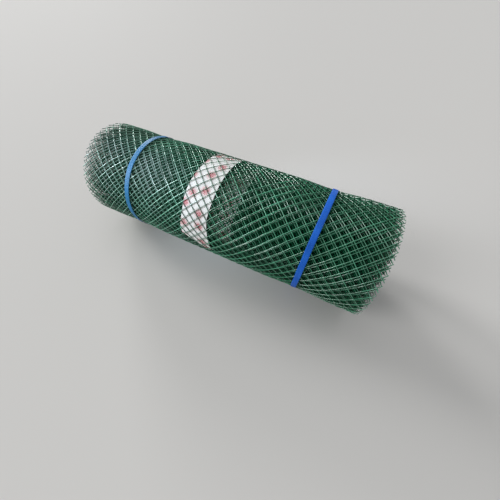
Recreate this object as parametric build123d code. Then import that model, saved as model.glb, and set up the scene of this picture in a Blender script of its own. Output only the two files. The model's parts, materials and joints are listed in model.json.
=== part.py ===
"""A roll of green extruded plastic netting, lying on its side.

The net is 915 mm wide and about 15 m long. It is wound straight onto itself with no core tube,
tied with two blue plastic straps, and holds two printed paper sheets under its outer turns.

The roll lies along X on the plane z = 0, with the origin under its middle. It is stored as one
turned solid: the open mesh of each turn is finer than this model goes, but the turns show on both
ends, where their cut edges don't line up. Lengths are in millimetres and angles in degrees, and an
angle round the roll starts at its -Y side and goes up over the top.
"""

import os
from math import ceil, cos, degrees, radians, sin

from build123d import *

# The wound net
net_width = 915.0
bore_radius = 61.0
turn_pitch = 4.3
turn_count = 22
turns_in_line = 2
edge_step = 1.1
edge_step_cycle = 5

# The straps, and the waist that each one pulls into the roll
strap_width = 15.5
strap_thickness = 0.8
strap_from_end = 178.0
strap_lap_length = 38.0
strap_lap_angle = 128.0
strap_seat_gap = 0.2
strap_side_gap = 0.6
waist_depth = 3.5
waist_run = 90.0

# The two printed sheets, cut alike: the label lies under one turn, and the inner one deeper
sheet_width = 82.0
sheet_length = 425.0
sheet_thickness = 0.4
sheet_cut_height = 66.0
sheet_gap = 0.3
sheet_edge_gap = 1.5
label_x = -37.5
label_low_angle = -18.5
label_turns_over = 1
inner_x = 27.0
inner_low_angle = -5.0
inner_turns_over = 6

# What follows from them
roll_radius = bore_radius + turn_count * turn_pitch
half_width = net_width / 2
waist_radius = roll_radius - waist_depth
strap_x = half_width - strap_from_end
waist_land = strap_width + 2 * strap_side_gap


def edge_setback(group):
    """How far a group of turns stands back from the end plane, counted from the outside."""
    return edge_step * (2 * group % edge_step_cycle)


def end_steps(side):
    """The corners of one end, from the roll's face to its bore: side -1 is left and +1 is right.

    The outermost turns stand furthest out, for the roll to stand on.
    """
    corners = []
    for group in range(ceil(turn_count / turns_in_line)):
        edge_x = side * (half_width - edge_setback(group))
        outer_radius = roll_radius - group * turns_in_line * turn_pitch
        inner_radius = max(outer_radius - turns_in_line * turn_pitch, bore_radius)
        corners.append((edge_x, outer_radius))
        corners.append((edge_x, inner_radius))
    return corners


def waist_ends(centre_x):
    """Where one waist leaves the roll's full radius, at its left and at its right."""
    reach = waist_land / 2 + waist_run
    return (centre_x - reach, roll_radius), (centre_x + reach, roll_radius)


def waist_line(centre_x):
    """The outer line across one waist: a slope down to the strap, flat under it, and up again."""
    entry, leave = waist_ends(centre_x)
    land_left = (centre_x - waist_land / 2, waist_radius)
    land_right = (centre_x + waist_land / 2, waist_radius)
    return Polyline(entry, land_left, land_right, leave)


def turned(section, start_angle=0.0, arc=360.0):
    """Turns a section, drawn as (x, radius), about the axis of the roll as it lies."""
    solid = revolve(section, Axis.X, arc)
    return Pos(0, 0, roll_radius) * Rot(180 - start_angle - arc, 0, 0) * solid


def on_roll(x, angle, radius):
    """The point at an angle round the roll and a radius from its axis."""
    return Vector(x, -radius * cos(radians(angle)), roll_radius + radius * sin(radians(angle)))


def net_roll():
    """The whole wound net: stepped ends, a waist under each strap, a bore and the sheets' room."""
    left_end = end_steps(-1)
    right_end = end_steps(1)
    left_waist = waist_ends(-strap_x)
    right_waist = waist_ends(strap_x)
    outline = [
        Polyline(*left_end),
        Line(left_end[0], left_waist[0]),
        waist_line(-strap_x),
        Line(left_waist[1], right_waist[0]),
        waist_line(strap_x),
        Line(right_waist[1], right_end[0]),
        Polyline(*right_end),
        Line(right_end[-1], left_end[-1]),
    ]
    edges = [edge for line in outline for edge in line.edges()]
    room_for_label = sheet_room(label_x, label_low_angle, label_turns_over, open_above=True)
    room_for_inner = sheet_room(inner_x, inner_low_angle, inner_turns_over)
    return turned(make_face(edges)) - room_for_label - room_for_inner


def sheet_radius(turns_over):
    """The radius of a sheet's outer face, just under so many turns."""
    return roll_radius - turns_over * turn_pitch


def sheet_arc(turns_over):
    """How far a sheet reaches round the roll."""
    return degrees(sheet_length / sheet_radius(turns_over))


def sheet_room(centre_x, low_angle, turns_over, open_above=False):
    """The room round a sheet: a slot between two turns, or a recess in place of the turn above."""
    top = sheet_radius(turns_over) + sheet_gap
    floor = sheet_radius(turns_over) - sheet_thickness - sheet_gap
    if open_above:
        top = roll_radius + turn_pitch
    room = Rectangle(sheet_width + 2 * sheet_edge_gap, top - floor, align=(Align.CENTER, Align.MIN))
    spare_angle = degrees(sheet_edge_gap / floor)
    return turned(
        Pos(centre_x, floor) * room, low_angle - spare_angle, sheet_arc(turns_over) + 2 * spare_angle
    )


def printed_sheet(centre_x, low_angle, turns_over):
    """A paper sheet that follows the turn under it, with its low left corner cut aslant."""
    radius = sheet_radius(turns_over)
    section = Rectangle(sheet_width, sheet_thickness, align=(Align.CENTER, Align.MAX))
    sheet = turned(Pos(centre_x, radius) * section, low_angle, sheet_arc(turns_over))

    cut_angle = low_angle + degrees(sheet_cut_height / radius)
    cut_start = on_roll(centre_x - sheet_width / 2, cut_angle, radius)
    cut_end = on_roll(centre_x + sheet_width / 2, low_angle, radius)
    middle = (cut_start + cut_end) / 2
    outward = on_roll(centre_x, (cut_angle + low_angle) / 2, 2 * radius) - middle
    across = (cut_end - cut_start).cross(outward)
    cut_plane = Plane(origin=middle, x_dir=cut_end - cut_start, z_dir=across)
    beyond_cut = Box(
        2 * sheet_width,
        2 * sheet_cut_height,
        2 * sheet_cut_height,
        align=(Align.CENTER, Align.CENTER, Align.MIN),
    )
    return sheet - cut_plane * beyond_cut


def strap(centre_x):
    """One strap: a closed band on its waist, with its end lapped over its start and welded there."""
    inner_radius = waist_radius + strap_seat_gap
    outer_radius = inner_radius + strap_thickness
    lap_arc = degrees(strap_lap_length / outer_radius)

    def band_section(base_radius):
        band = Rectangle(strap_width, strap_thickness, align=(Align.CENTER, Align.MIN))
        return Pos(centre_x, base_radius) * band

    band = turned(band_section(inner_radius))
    lap = turned(band_section(outer_radius), strap_lap_angle - lap_arc / 2, lap_arc)
    return band + lap


pieces = {
    "net_roll": net_roll(),
    "label_sheet": printed_sheet(label_x, label_low_angle, label_turns_over),
    "inner_sheet": printed_sheet(inner_x, inner_low_angle, inner_turns_over),
    "strap_left": strap(-strap_x),
    "strap_right": strap(strap_x),
}

os.makedirs("parts", exist_ok=True)
for name, piece in pieces.items():
    export_step(piece, f"parts/{name}.step")
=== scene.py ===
import json
from math import cos, pi, radians, sin, sqrt

import bpy
import numpy as np
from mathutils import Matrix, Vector


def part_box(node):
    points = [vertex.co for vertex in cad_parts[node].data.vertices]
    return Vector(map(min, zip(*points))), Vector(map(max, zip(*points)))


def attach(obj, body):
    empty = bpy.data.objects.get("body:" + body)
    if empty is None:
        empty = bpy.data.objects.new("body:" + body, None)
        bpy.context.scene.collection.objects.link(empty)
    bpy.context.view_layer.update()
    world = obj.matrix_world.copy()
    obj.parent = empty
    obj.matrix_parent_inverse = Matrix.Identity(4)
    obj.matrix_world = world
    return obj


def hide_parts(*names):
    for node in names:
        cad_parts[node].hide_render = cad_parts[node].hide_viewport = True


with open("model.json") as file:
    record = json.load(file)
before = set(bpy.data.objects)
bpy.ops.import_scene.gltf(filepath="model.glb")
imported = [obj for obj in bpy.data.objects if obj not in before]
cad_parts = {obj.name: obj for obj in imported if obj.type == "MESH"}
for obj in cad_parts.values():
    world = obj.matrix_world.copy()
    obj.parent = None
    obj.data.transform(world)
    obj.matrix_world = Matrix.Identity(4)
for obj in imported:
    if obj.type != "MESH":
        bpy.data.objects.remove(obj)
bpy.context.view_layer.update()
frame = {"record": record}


# The netting: one long sheet of extruded green polyethylene, 915 mm wide, with square meshes turned
# 45 degrees. Two layers of round strands are fused where they cross. The sheet is wound tightly onto
# itself with no core, so every turn shows through the meshes of the turns outside it.

# The roll, from the CAD box and the record's bore
roll_low, roll_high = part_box("net_roll")
roll_radius = (roll_high.z - roll_low.z) / 2
half_width = (roll_high.x - roll_low.x) / 2
bore = next(mount for mount in frame["record"]["mounts"] if mount["name"] == "bore")
bore_radius = bore["dims"]["r_mm"] / 1000

# The net as it is extruded: strands in two layers, and a knot where two of them cross
mesh_size = 0.01972
cell = mesh_size * sqrt(2)
columns = 33
strand_radius = 0.00108
layer_offset = 0.00055
knot_reach = 0.0030
knot_swelling = 1.22
net_thickness = 2 * (strand_radius * knot_swelling + layer_offset)
free_end_cut = 0.3 * cell

# The two outermost turns are seen best: their strands are rounder than the others, and have knots
outer_strand_sides = {0: 6, 1: 5}
inner_strand_sides = 4

# The winding, with a little slack round the label under the last turn
turn_pitch = 0.0043
turn_count = round((roll_radius - bore_radius) / turn_pitch)
free_end_angle = radians(222)
climb = radians(55)
label_slack = 0.0006
full_turn = 2 * pi
points_wound = 40001

# Net isn't wound quite straight: its turns drift sideways, their cut edge wavers, their rows lean,
# and here and there a turn sinks in a little. The cycles are counted in radians a turn.
side_drift = 0.0018
drift_cycle = 1.9
drift_start = 0.7
edge_waver = 0.0016
edge_waver_tightness = 130
loose_ends = 0.35 * mesh_size
lean = -0.012
lean_cycle = 2.6
sinking = 0.0003
sinking_tightness_across = 30
sinking_tightness_along = 40

# Its meshes bend as well, but hardly at the edges. Each bend has a size, how tight its waves are
# across and along the net, and a seed.
bends_across = ((0.0011, 17, 19, 5), (0.0005, 60, 70, 6))
bends_along = ((0.0012, 21, 16, 7), (0.0005, 75, 64, 8))
straight_edge = 0.03

# How far the second turn's meshes lie from those of the first, in cells, at three places along the
# roll. The slip decides the pattern that the two turns make together.
slip_places = (-0.17, 0.16, 0.35)
slip_across = (0.0, -0.15, 0.07)
slip_along = (0.0, 0.18, 0.18)

# Each strap pulls a waist into the net, which fades along the roll and from turn to turn inwards
strap_boxes = {name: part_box(name) for name in ("strap_left", "strap_right")}
strap_places = {name: (low.x + high.x) / 2 for name, (low, high) in strap_boxes.items()}
strap_width = strap_boxes["strap_left"][1].x - strap_boxes["strap_left"][0].x
waist_depth = 0.0035
waist_run = 0.090
waist_reach_in_turns = 6


def eased(share):
    """A share from 0 to 1, with a soft start and a soft end."""
    return share * share * (3 - 2 * share)


# How far in each point of the wound length is: a turn keeps its radius nearly all the way round, and
# steps down by one turn's pitch as it passes under the end of the turn outside it.
swept = np.linspace(0, full_turn * (turn_count + 1), points_wound)
turns_swept = np.floor(swept / full_turn)
into_climb = np.clip((swept - full_turn * turns_swept - (full_turn - climb)) / climb, 0, 1)
depth_in_turns = turns_swept + eased(into_climb)
turn_radius = roll_radius - turn_pitch * depth_in_turns - label_slack * np.clip(depth_in_turns, 0, 1)
step_lengths = np.diff(swept) * (turn_radius[1:] + turn_radius[:-1]) / 2
wound_length = np.concatenate([[0], np.cumsum(step_lengths)])


def row_of_turn(turn):
    """The row of meshes at which a turn begins, counted from the free end of the net."""
    return int(round(np.interp(full_turn * turn, swept, wound_length) / cell))


def soft_waves(a, b, seed):
    """A smooth random wave over two coordinates, between -1 and 1."""
    draw = np.random.default_rng(seed)
    wave_count = 5
    total = np.zeros_like(a)
    for _ in range(wave_count):
        wave_a, wave_b = draw.normal(0, 1, 2)
        total += np.sin(a * wave_a + b * wave_b + draw.uniform(0, full_turn))
    return total / wave_count


def bent(x, length, bends):
    """How far a number of soft bends together move each point of the net."""
    moved = np.zeros_like(x)
    for size, across, along, seed in bends:
        moved += size * soft_waves(length * along, x * across, seed)
    return moved


def waist(x):
    """How far each strap has pulled the net in at a place along the roll, from 0 to 1."""
    pull = np.zeros_like(x)
    for place in strap_places.values():
        beyond = np.clip((np.abs(x - place) - strap_width / 2) / waist_run, 0, 1)
        pull = np.maximum(pull, 1 - eased(beyond))
    return pull


def points_of(piece):
    """A piece's points, as three arrays."""
    flat = np.empty(3 * len(piece.data.vertices))
    piece.data.vertices.foreach_get("co", flat)
    return flat.reshape(-1, 3).T.copy()


def place_points(piece, x, y, z):
    """Moves a piece's points to new places, given as three arrays."""
    piece.data.vertices.foreach_set("co", np.stack([x, y, z], axis=1).ravel())
    piece.data.update()


def on_roll(x, angle, radius):
    """Points round the roll: an angle starts at its near side and goes up over the top."""
    return x, -radius * np.cos(angle), roll_radius + radius * np.sin(angle)


def apply_modifiers(piece):
    """Makes what a piece's modifiers do part of its mesh."""
    for modifier in list(piece.modifiers):
        bpy.ops.object.modifier_apply(modifier=modifier.name)


def strand(slant, height, sides, knots):
    """One half of a crossing: a straight round strand, thicker where it meets the other one."""
    along = Vector((cos(slant), sin(slant), 0))
    clear_run = mesh_size - 2 * knot_reach
    to_next_knot = ((knot_reach, 1 / knot_swelling), (clear_run, 1), (knot_reach, knot_swelling))
    runs = (*to_next_knot, *to_next_knot) if knots else ((mesh_size, 1), (mesh_size, 1))
    bpy.ops.mesh.primitive_circle_add(
        vertices=sides,
        radius=strand_radius * (knot_swelling if knots else 1),
        location=Vector((0, 0, height)) - mesh_size * along,
        rotation=(pi / 2, 0, slant + pi / 2),
    )
    bpy.ops.object.mode_set(mode="EDIT")
    for length, growth in runs:
        bpy.ops.mesh.extrude_region_move(TRANSFORM_OT_translate={"value": length * along})
        bpy.ops.transform.resize(value=(growth, growth, growth))
    bpy.ops.object.mode_set(mode="OBJECT")
    return bpy.context.object


def flat_net(name, first_row, last_row, sides, knots):
    """Flat netting: X runs across the roll, Y along the net from its free end, and Z is outwards.

    A mesh of the array is one crossing with its four half strands, and the strands of neighbours join.
    """
    bpy.ops.object.select_all(action="DESELECT")
    outer = strand(pi / 4, layer_offset, sides, knots)
    bpy.ops.object.select_all(action="DESELECT")
    strand(-pi / 4, -layer_offset, sides, knots)
    outer.select_set(True)
    bpy.ops.object.join()
    net = bpy.context.object
    net.name = net.data.name = name
    bpy.ops.object.transform_apply(location=True, rotation=True, scale=True)
    for step, count in (((cell, 0, 0), columns), ((0, cell, 0), last_row - first_row)):
        array = net.modifiers.new("meshes", "ARRAY")
        array.use_relative_offset = False
        array.use_constant_offset = True
        array.constant_offset_displace = step
        array.count = count
    apply_modifiers(net)
    net.location = ((0.5 - columns / 2) * cell, (first_row + 0.5) * cell, 0)
    bpy.ops.object.transform_apply(location=True, rotation=False, scale=False)
    return net


def trim_net(net, sides):
    """Cuts the net to its width and free end, and closes the cut end of every strand."""
    cuts = (
        ((half_width - side_drift, 0, 0), (1, 0, 0)),
        ((side_drift - half_width, 0, 0), (-1, 0, 0)),
        ((0, free_end_cut, 0), (0, -1, 0)),
    )
    bpy.ops.object.mode_set(mode="EDIT")
    bpy.ops.mesh.select_all(action="SELECT")
    bpy.ops.mesh.remove_doubles(threshold=1e-5)
    for place, outwards in cuts:
        bpy.ops.mesh.select_all(action="SELECT")
        bpy.ops.mesh.bisect(plane_co=place, plane_no=outwards, clear_outer=True)
    bpy.ops.mesh.select_all(action="SELECT")
    bpy.ops.mesh.fill_holes(sides=2 * sides)
    bpy.ops.mesh.normals_make_consistent(inside=False)
    bpy.ops.object.mode_set(mode="OBJECT")


def wind_net(net):
    """Winds flat netting onto the roll, with the small unevenness of net that was wound by machine."""
    x, length, height = points_of(net)

    # The cut ends of the strands aren't all of one length
    at_edge = np.clip((np.abs(x) - (half_width - loose_ends)) / loose_ends, 0, 1)
    waver = 1 + soft_waves(length * edge_waver_tightness, np.zeros_like(x), seed=3)
    x -= np.sign(x) * edge_waver * at_edge * waver / 2

    # How far the bends, the lean of the rows and the slip move each point across and along the net
    bend_x = bent(x, length, bends_across)
    bend_length = bent(x, length, bends_along)
    depth = np.interp(length, wound_length, depth_in_turns)
    bend_length += lean * x * np.sin(lean_cycle * depth)
    slip = cell * np.clip(depth, 0, 1)
    bend_x += slip * np.interp(x, slip_places, slip_across)
    bend_length += slip * np.interp(x, slip_places, slip_along)
    inside_edge = np.clip((half_width - side_drift - np.abs(x)) / straight_edge, 0, 1)

    # Where each point then comes to lie on the roll
    swept_here = np.interp(length + bend_length, wound_length, swept)
    depth = np.interp(swept_here, swept, depth_in_turns)
    radius = np.interp(swept_here, swept, turn_radius) - net_thickness / 2 + height
    radius -= waist_depth * waist(x) * np.exp(-depth / waist_reach_in_turns)
    sunk = soft_waves(length * sinking_tightness_along, x * sinking_tightness_across, seed=9)
    radius -= sinking * (1 + sunk)
    drift = side_drift * np.sin(depth * drift_cycle + drift_start)
    place_points(net, *on_roll(x + bend_x * inside_edge + drift, free_end_angle + swept_here, radius))


def new_material(name):
    """A new material, with its node tree and its shader."""
    material = bpy.data.materials.new(name)
    material.use_nodes = True
    tree = material.node_tree
    return material, tree, tree.nodes["Principled BSDF"]


def feed(tree, node, inputs):
    """Gives a node's inputs their values, or the sockets that feed them."""
    for socket, value in inputs.items():
        if isinstance(value, bpy.types.NodeSocket):
            tree.links.new(value, node.inputs[socket])
        else:
            node.inputs[socket].default_value = value


def add_node(tree, kind, inputs, **settings):
    """A new node, with its settings and its inputs."""
    node = tree.nodes.new(kind)
    for setting, value in settings.items():
        setattr(node, setting, value)
    feed(tree, node, inputs)
    return node


def arithmetic(tree, operation, first, second=0.0):
    """One step of arithmetic on numbers."""
    return add_node(tree, "ShaderNodeMath", {0: first, 1: second}, operation=operation).outputs[0]


def vector_arithmetic(tree, operation, first, second=(0, 0, 0), result="Vector"):
    """One step of arithmetic on vectors."""
    inputs = {0: first, 1: second}
    return add_node(tree, "ShaderNodeVectorMath", inputs, operation=operation).outputs[result]


def product(tree, *factors):
    """Any number of factors, multiplied together."""
    total, *others = factors
    for factor in others:
        total = arithmetic(tree, "MULTIPLY", total, factor)
    return total


def faded(tree, value, start, end, before=0.0, after=1.0):
    """One number up to a start, another past an end, and an even change between them."""
    inputs = {"Value": value, "From Min": start, "From Max": end, "To Min": before, "To Max": after}
    return add_node(tree, "ShaderNodeMapRange", inputs).outputs["Result"]


def noise(tree, place, scale, detail=3.0, result="Fac"):
    """A cloudy pattern, from 0 to 1, as a number or a colour."""
    inputs = {"Vector": place, "Scale": scale, "Detail": detail}
    return add_node(tree, "ShaderNodeTexNoise", inputs).outputs[result]


def ramp(tree, factor, stops):
    """A colour ramp through (position, colour) stops."""
    node = add_node(tree, "ShaderNodeValToRGB", {0: factor})
    elements = node.color_ramp.elements
    while len(elements) < len(stops):
        elements.new(0.5)
    for element, (position, colour) in zip(elements, stops):
        element.position = position
        element.color = (*colour, 1)
    return node.outputs["Color"]


def mixed(tree, factor, first, second):
    """Two colours mixed by a factor. The node's colour sockets have no names of their own."""
    inputs = {"Factor": factor, 6: first, 7: second}
    return add_node(tree, "ShaderNodeMix", inputs, data_type="RGBA").outputs[2]


def bumps(tree, height, strength, distance):
    """A surface that stands up and sinks with a pattern."""
    inputs = {"Height": height, "Strength": strength, "Distance": distance}
    return add_node(tree, "ShaderNodeBump", inputs).outputs["Normal"]


# The colours of the plastic. The outermost turn has faded on the outside of the roll. The second
# turn is darker and the inner turns far darker, partly as unfaded plastic and partly as painted
# shade deep in the roll. Each green has three shades, which mottle it.
weathered_green = ((0.020, 0.330, 0.150), (0.034, 0.430, 0.212), (0.072, 0.560, 0.315))
second_turn_shaded_green = ((0.015, 0.265, 0.118), (0.026, 0.345, 0.168), (0.055, 0.450, 0.248))
inner_turn_shaded_green = ((0.000, 0.092, 0.037), (0.001, 0.130, 0.054), (0.002, 0.175, 0.074))
shade_positions = (0.30, 0.52, 0.75)
# The dark green where no highlight is painted: the strands' flanks, and the strands over the label
shaded_flank_green = (0.002, 0.095, 0.040, 1)
# Pale bluish grey: dust, with a painted sheen mixed in
pale_dust_and_sheen = (0.44, 0.52, 0.54, 1)

# Where the label lies under the net, and which way it faces from the roll's axis. The highlight
# painted on the strands sets in a little inside its edges and is whole a little beyond them.
label_low, label_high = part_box("label_sheet")
label_middle = (label_low.x + label_high.x) / 2
label_half_width = (label_high.x - label_low.x) / 2
label_angle = radians(60)
label_side = (0, -cos(label_angle), sin(label_angle))
highlight_set_in = label_half_width - 0.002
highlight_is_whole = label_half_width + 0.003
highlight_over_label = 0.12
highlight_at_right = 0.7


def painted_highlight(tree, place, along_roll, normal):
    """Painted highlight on the strands: pale on their outward side only, and less so towards the right.

    Over the label hardly any is painted, so that they stand out dark against the paper.
    """
    from_axis = vector_arithmetic(tree, "SUBTRACT", place, (0, 0, roll_radius))
    across_roll = vector_arithmetic(tree, "MULTIPLY", from_axis, (0, 1, 1))
    outwards = vector_arithmetic(tree, "NORMALIZE", across_roll)
    how_outward = vector_arithmetic(tree, "DOT_PRODUCT", outwards, normal, "Value")
    outward_side = faded(tree, how_outward, 0.62, 0.95)
    towards_right = faded(tree, along_roll, 0.15, 0.30, 1.0, highlight_at_right)

    from_label = arithmetic(tree, "ABSOLUTE", arithmetic(tree, "SUBTRACT", along_roll, label_middle))
    beside_label = faded(tree, from_label, highlight_set_in, highlight_is_whole)
    how_near_label = vector_arithmetic(tree, "DOT_PRODUCT", outwards, label_side, "Value")
    behind_label = faded(tree, how_near_label, 0.10, 0.35, 1.0, 0.0)
    off_label = arithmetic(tree, "MAXIMUM", beside_label, behind_label)
    label_factor = faded(tree, off_label, 0.0, 1.0, highlight_over_label, 1.0)
    return product(tree, outward_side, towards_right, label_factor)


def dust_and_sheen(tree, place, where, normal, dust_and_sheen_amount):
    """Dust and painted sheen: most where the net faces up, high on its front and at its left end."""
    upward = add_node(tree, "ShaderNodeSeparateXYZ", {0: normal}).outputs["Z"]
    facing_up = faded(tree, upward, -0.3, 0.9, 0.15, 1.0)
    # At its left end and high on its front the pale colour is also a painted bluish sheen of the light
    # from the left.
    at_left_end = faded(tree, where["X"], -0.24, 0.02, 1.0, 0.15)
    near_top = faded(tree, where["Z"], 0.13, 0.26, 0.3, 1.0)
    at_front = faded(tree, where["Y"], -0.05, 0.03, 1.0, 0.2)
    patches = faded(tree, noise(tree, place, 9.0), 0.35, 0.65, 0.55, 1.0)
    grains = faded(tree, noise(tree, place, 900.0, 2.0), 0.3, 0.6, 0.6, 1.0)
    return product(tree, dust_and_sheen_amount, facing_up, at_left_end, near_top, at_front, patches, grains)


def net_plastic(name, greens, dust_and_sheen_amount, gloss):
    """Glossy green polyethylene, mottled, finely scratched and dusty, with painted highlight and sheen.
    """
    material, tree, shader = new_material(name)
    place = add_node(tree, "ShaderNodeTexCoord", {}).outputs["Object"]
    where = add_node(tree, "ShaderNodeSeparateXYZ", {0: place}).outputs
    normal = add_node(tree, "ShaderNodeNewGeometry", {}).outputs["Normal"]
    mottled_green = ramp(tree, noise(tree, place, 14.0, 4.0), list(zip(shade_positions, greens)))
    # The pale mottled green goes on each strand's outward side as a painted highlight. The flanks stay
    # dark.
    highlighted = painted_highlight(tree, place, where["X"], normal)
    green = mixed(tree, highlighted, shaded_flank_green, mottled_green)
    scratches = noise(tree, place, 420.0)
    feed(tree, shader, {
        "Base Color": mixed(tree, dust_and_sheen(tree, place, where, normal, dust_and_sheen_amount), green, pale_dust_and_sheen),
        "Roughness": faded(tree, scratches, 0.0, 1.0, 0.26, 0.40),
        "Specular IOR Level": gloss,
        "Coat Weight": 0.4 * gloss,
        "Coat Roughness": 0.24,
        "Coat IOR": 1.6,
        "Normal": bumps(tree, scratches, strength=0.12, distance=0.0004),
    })
    return material


# The darker greens of the second and inner turns are partly painted shade deep in the roll.
outer_plastic = net_plastic("weathered_net_plastic", weathered_green, dust_and_sheen_amount=0.9, gloss=1.0)
second_plastic = net_plastic("shaded_net_plastic", second_turn_shaded_green, dust_and_sheen_amount=0.85, gloss=0.9)
inner_plastic = net_plastic("inner_shaded_net_plastic", inner_turn_shaded_green, dust_and_sheen_amount=0.2, gloss=0.2)
outer_finishes = {0: outer_plastic, 1: second_plastic}

for turn in range(turn_count):
    sides = outer_strand_sides.get(turn, inner_strand_sides)
    first_row, last_row = row_of_turn(turn), row_of_turn(turn + 1)
    net = flat_net(f"net_turn_{turn + 1}", first_row, last_row, sides, knots=turn in outer_strand_sides)
    trim_net(net, sides)
    wind_net(net)
    bpy.ops.object.shade_smooth_by_angle(angle=radians(60))
    net.data.materials.append(outer_finishes.get(turn, inner_plastic))
    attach(net, "root")
    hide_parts("net_roll")


# The printed sheets: coated white paper with one lower corner cut off, printed with rows of red and
# pink motifs. They were slipped in while the net was wound: the label under the last turn, and the
# other one under six turns, where only specks of it show.

# The flat sheet
paper_length = 0.425
paper_thickness = 0.00025
corner_cut_height = 0.056
paper_columns = 44
paper_rows = 220

# How it lies: the angle of its low end, and how far the winding pulled each long edge aside on the
# way round the roll
low_angles = {"label_sheet": radians(-18.5), "inner_sheet": radians(-5)}
askew_angles = np.radians((-20, 0, 13, 32, 50, 70, 90))
left_edge_askew = (-0.005, -0.006, -0.007, -0.001, -0.003, 0.000, 0.005)
right_edge_askew = (0.005, 0.0045, 0.0015, -0.004, -0.0005, 0.0005, 0.001)
edge_wander = 0.0006
edge_wander_tightness = 22
pressed_waves = 0.00018
pressed_wave_tightness = 150
pressed_in = 0.00012

# The print, measured in millimetres on the flat sheet
sheet_in_mm = (82.0, 425.0, 1.0)
motifs_per_mm = 0.021
dots_per_mm = 0.30
print_wander_in_mm = (9.0, 9.0, 0.0)
coated_white = (0.86, 0.85, 0.82, 1)
pink_ink = (0.80, 0.52, 0.51, 1)
red_ink = (0.48, 0.050, 0.075, 1)
grey_grime = (0.58, 0.57, 0.52, 1)


def flat_paper(name, width):
    """A flat sheet with its low end on the X axis and its low left corner cut aslant."""
    bpy.ops.object.select_all(action="DESELECT")
    bpy.ops.mesh.primitive_grid_add(x_subdivisions=paper_columns, y_subdivisions=paper_rows, size=1)
    paper = bpy.context.object
    paper.name = paper.data.name = name
    paper.scale = (width, paper_length, 1)
    paper.location = (0, paper_length / 2, 0)
    bpy.ops.object.transform_apply(location=True, rotation=True, scale=True)
    bpy.ops.object.mode_set(mode="EDIT")
    bpy.ops.mesh.select_all(action="SELECT")
    bpy.ops.mesh.bisect(
        plane_co=(width / 2, 0, 0), plane_no=(-corner_cut_height, -width, 0), clear_outer=True
    )
    bpy.ops.object.mode_set(mode="OBJECT")
    return paper


def wind_paper(paper, middle_x, width, low_angle, radius):
    """Lays a flat sheet round the roll, pressed into faint waves by the strands above and below it."""
    x, length, _ = points_of(paper)
    waves = soft_waves(x * pressed_wave_tightness, length * pressed_wave_tightness, seed=21)
    pressed = pressed_waves * waves - pressed_in
    wander = edge_wander * soft_waves(length * edge_wander_tightness, np.zeros_like(x), seed=22)
    angle = low_angle + length / radius
    left_askew = np.interp(angle, askew_angles, left_edge_askew)
    right_askew = np.interp(angle, askew_angles, right_edge_askew)
    share_across = x / width + 0.5
    askew = (1 - share_across) * left_askew + share_across * right_askew
    place_points(paper, *on_roll(middle_x + x + wander + askew, angle, radius + pressed))


def measured(tree, place, scale):
    """A place on a surface, measured in other units."""
    return add_node(tree, "ShaderNodeMapping", {"Vector": place, "Scale": scale}).outputs["Vector"]


def from_spots(tree, place, scale, scatter, **settings):
    """How far a place on a flat surface is from the nearest of many spots in scattered rows."""
    inputs = {"Vector": place, "Scale": scale, "Randomness": scatter}
    spots = add_node(tree, "ShaderNodeTexVoronoi", inputs, voronoi_dimensions="2D", **settings)
    return spots.outputs["Distance"]


def printed_paper():
    """White coated paper, printed with red dotted discs in pink rings, creased and a little grubby."""
    material, tree, shader = new_material("printed_paper")
    coordinates = add_node(tree, "ShaderNodeTexCoord", {}).outputs
    place = coordinates["Object"]
    on_sheet = measured(tree, coordinates["UV"], sheet_in_mm)
    smudge = noise(tree, on_sheet, 0.35, 4.0, result="Color")
    wander = vector_arithmetic(tree, "MULTIPLY", smudge, print_wander_in_mm)
    on_print = vector_arithmetic(tree, "ADD", on_sheet, wander)
    from_motif = from_spots(tree, on_print, motifs_per_mm, scatter=0.55)
    from_dot = from_spots(tree, on_sheet, dots_per_mm, scatter=0.35)
    dot_size = faded(tree, from_motif, 0.10, 0.38, 0.50, 0.0)
    in_dot = faded(tree, arithmetic(tree, "SUBTRACT", dot_size, from_dot), -0.02, 0.03)
    in_ring = faded(tree, from_motif, 0.20, 0.38, 0.70, 0.0)
    with_rings = mixed(tree, in_ring, coated_white, pink_ink)
    with_dots = mixed(tree, in_dot, with_rings, red_ink)
    grime = faded(tree, noise(tree, place, 26.0, 5.0), 0.50, 0.80, 0.0, 0.35)
    feed(tree, shader, {
        "Base Color": mixed(tree, grime, with_dots, grey_grime),
        "Roughness": 0.5,
        "Normal": bumps(tree, noise(tree, place, 60.0, 4.0), strength=0.35, distance=0.001),
    })
    return material


paper_finish = printed_paper()
for node, low_angle in low_angles.items():
    low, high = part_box(node)
    width = high.x - low.x
    paper = flat_paper(f"{node}_paper", width)
    wind_paper(paper, (low.x + high.x) / 2, width, low_angle, high.z - roll_radius - paper_thickness)
    thickness = paper.modifiers.new("thickness", "SOLIDIFY")
    thickness.thickness = paper_thickness
    thickness.offset = 1
    apply_modifiers(paper)
    bpy.ops.object.shade_smooth_by_angle(angle=radians(40))
    paper.data.materials.append(paper_finish)
    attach(paper, "root")
    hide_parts(node)


# The straps: flat blue polypropylene packing strap, embossed with small diamonds when it was rolled.
# Each one is pulled tight round the roll, so that it bites into the net, and its end is lapped over
# its start and welded there, on the side away from the camera.

# The strap and its welded lap
strap_thickness = 0.0008
strap_seat_gap = 0.0002
strap_radius = roll_radius - waist_depth + strap_seat_gap
strap_segments = 288
cuts_along_strap = 3
rolled_edge = 0.00018
lap_middle = radians(128)
lap_length = 0.038
lap_radius = strap_radius + strap_thickness

# How it lies: one strap leans, and both wander sideways and sink between the strands
strap_leans = {"strap_left": 0.0, "strap_right": 0.0045}
lean_middle = radians(40)
slow_wander = 0.0011
slow_wander_tightness = 2.2
quick_wander = 0.0004
quick_wander_tightness = 9
strap_sinking = 0.00018
strap_sinking_tightness = 16

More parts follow.
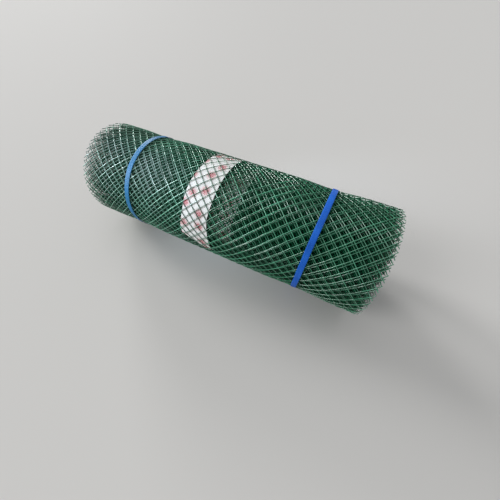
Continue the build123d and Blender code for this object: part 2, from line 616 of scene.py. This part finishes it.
# Its embossing, measured nearly in millimetres on the strap, its scratches and its colours
strap_in_mm = (970.0, 15.5, 1.0)
diamonds_per_mm = 0.7
scratch_stretch = (30.0, 60.0, 1.0)
blue_shades = (
    (0.30, (0.004, 0.096, 0.49)),
    (0.55, (0.007, 0.124, 0.61)),
    (0.78, (0.019, 0.175, 0.74)),
)
dusty_blue = (0.012, 0.155, 0.12, 1)
rubbed_blue = (0.22, 0.38, 0.66, 1)


def select_only(piece, kind, wanted):
    """Selects those edges or faces of a piece that are wanted, and stays in edit mode."""
    bpy.ops.object.mode_set(mode="EDIT")
    bpy.ops.mesh.select_mode(type=kind)
    bpy.ops.mesh.select_all(action="DESELECT")
    bpy.ops.object.mode_set(mode="OBJECT")
    parts = piece.data.edges if kind == "EDGE" else piece.data.polygons
    for part in parts:
        part.select = wanted(part)
    bpy.ops.object.mode_set(mode="EDIT")


def strap_band(name, middle_x):
    """A round band with a short second layer over the lap, both still without thickness."""
    bpy.ops.object.select_all(action="DESELECT")
    bpy.ops.mesh.primitive_cylinder_add(
        vertices=strap_segments,
        radius=strap_radius,
        depth=strap_width,
        end_fill_type="NOTHING",
        location=(middle_x, 0, roll_radius),
        rotation=(0, pi / 2, 0),
    )
    band = bpy.context.object
    band.name = band.data.name = name
    bpy.ops.object.transform_apply(location=True, rotation=True, scale=True)

    def crosses_strap(edge):
        """Whether an edge runs from one side of the strap to the other."""
        start, end = (band.data.vertices[corner].co for corner in edge.vertices)
        return abs(start.x - end.x) > strap_width / 2

    def under_lap(face):
        """Whether a face lies where the strap's end is lapped over its start."""
        angle = np.arctan2(face.center.z - roll_radius, -face.center.y)
        return abs(angle - lap_middle) < lap_length / lap_radius / 2

    select_only(band, "EDGE", crosses_strap)
    bpy.ops.mesh.subdivide(number_cuts=cuts_along_strap)
    select_only(band, "FACE", under_lap)
    bpy.ops.mesh.duplicate_move()
    growth = lap_radius / strap_radius
    bpy.ops.transform.resize(value=(1, growth, growth), center_override=(middle_x, 0, roll_radius))
    bpy.ops.mesh.select_all(action="SELECT")
    bpy.ops.mesh.normals_make_consistent(inside=False)
    bpy.ops.object.mode_set(mode="OBJECT")
    return band


def settle_strap(band, lean, seed):
    """Lets the strap lean, wander a little sideways and sink a little between the strands under it."""
    x, y, z = points_of(band)
    angle = np.arctan2(z - roll_radius, -y)
    radius = np.hypot(y, z - roll_radius)

    def waves_round(tightness, seed):
        """Soft waves round the strap, which meet where it closes."""
        return soft_waves(np.cos(angle) * tightness, np.sin(angle) * tightness, seed)

    wander = slow_wander * waves_round(slow_wander_tightness, seed)
    wander += quick_wander * waves_round(quick_wander_tightness, seed + 1)
    wander += lean * np.sin(angle - lean_middle)
    sunk = strap_sinking * (waves_round(strap_sinking_tightness, seed + 2) - 1)
    place_points(band, *on_roll(x + wander, angle, radius + sunk))


def strap_plastic():
    """Blue polypropylene: embossed with diamonds, scratched along its length, and dusty at the left."""
    material, tree, shader = new_material("blue_strap_plastic")
    coordinates = add_node(tree, "ShaderNodeTexCoord", {}).outputs
    place = coordinates["Object"]
    blue = ramp(tree, noise(tree, place, 22.0, 4.0), blue_shades)
    along_roll = add_node(tree, "ShaderNodeSeparateXYZ", {0: place}).outputs["X"]
    dusty = faded(tree, along_roll, -0.24, 0.02, 0.60, 0.0)
    scratches = noise(tree, measured(tree, coordinates["UV"], scratch_stretch), 6.0, 5.0)
    rubbed = faded(tree, scratches, 0.56, 0.80, 0.0, 0.24)
    on_strap = measured(tree, coordinates["UV"], strap_in_mm)
    diamonds = from_spots(tree, on_strap, diamonds_per_mm, scatter=0.0, distance="MANHATTAN")
    feed(tree, shader, {
        "Base Color": mixed(tree, rubbed, mixed(tree, dusty, blue, dusty_blue), rubbed_blue),
        "Roughness": faded(tree, noise(tree, place, 300.0), 0.0, 1.0, 0.40, 0.58),
        "Specular IOR Level": 0.25,
        "Normal": bumps(tree, diamonds, strength=0.5, distance=0.0003),
    })
    return material


strap_finish = strap_plastic()
for seed, (node, middle_x) in enumerate(strap_places.items(), 31):
    band = strap_band(f"{node}_band", middle_x)
    settle_strap(band, strap_leans[node], seed)
    thickness = band.modifiers.new("thickness", "SOLIDIFY")
    thickness.thickness = strap_thickness
    thickness.offset = 1
    edges = band.modifiers.new("rolled_edges", "BEVEL")
    edges.width = rolled_edge
    edges.segments = 2
    edges.limit_method = "ANGLE"
    edges.angle_limit = radians(50)
    apply_modifiers(band)
    bpy.ops.object.shade_smooth_by_angle(angle=radians(40))
    band.data.materials.append(strap_finish)
    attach(band, "root")
    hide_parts(node)


# The plain pale floor, soft light that comes mostly from the left and above, and the camera at the
# photo's angle. The low lamps behind and at the left give the strands pale highlights, beside the
# highlight painted on their outward side.

floor_grey = (0.64, 0.625, 0.605, 1)
room_white = (0.93, 0.97, 1.0, 1)
room_strength = 0.31

# Each lamp: its name, the side it shines from, how far it spreads and how strong it is
lamps = (
    ("high_left", (-0.65, -0.49, 0.62), radians(22), 0.54),
    ("far_left", (-0.90, 0.20, 0.36), radians(18), 1.55),
    ("low_left", (-0.90, -0.38, 0.18), radians(22), 1.10),
    ("back_left", (-0.76, 0.58, 0.30), radians(16), 1.35),
    ("above", (-0.10, 0.30, 1.0), radians(60), 0.42),
)
window_place = Vector((-0.66, -0.42, 0.64))
window_target = Vector((-0.24, -0.10, 0.29))
camera_place = Vector((0.2876, -0.4472, 0.7227))
camera_target = Vector((0.1252, -0.1162, 0.1556))


def shining_from(direction):
    """How a lamp is turned to shine from a direction."""
    return direction.to_track_quat("Z", "Y").to_euler()


bpy.ops.object.select_all(action="DESELECT")
bpy.ops.mesh.primitive_plane_add(size=30)
floor = bpy.context.object
floor.name = "floor"
floor_material, floor_tree, floor_shader = new_material("pale_floor")
feed(floor_tree, floor_shader, {"Base Color": floor_grey, "Roughness": 0.9})
floor.data.materials.append(floor_material)

world = bpy.data.worlds.new("soft_room")
bpy.context.scene.world = world
world.use_nodes = True
room_light = world.node_tree.nodes["Background"]
feed(world.node_tree, room_light, {"Color": room_white, "Strength": room_strength})

for name, from_side, spread, strength in lamps:
    bpy.ops.object.light_add(type="SUN")
    lamp = bpy.context.object
    lamp.name = name
    lamp.data.angle = spread
    lamp.data.energy = strength
    lamp.rotation_euler = shining_from(Vector(from_side))

bpy.ops.object.light_add(type="AREA", location=window_place)
window = bpy.context.object
window.name = "window"
window.data.size = 0.30
window.data.spread = radians(32)
window.data.energy = 0.36
window.data.color = (0.76, 0.86, 1.0)
window.rotation_euler = shining_from(window_place - window_target)

bpy.ops.object.camera_add(location=camera_place)
camera = bpy.context.object
camera.rotation_euler = (camera_target - camera_place).to_track_quat("-Z", "Y").to_euler()
camera.data.sensor_width = 36
camera.data.lens = 16.85
camera.data.clip_start = 0.01
bpy.context.scene.camera = camera
bpy.context.scene.view_settings.view_transform = "Standard"
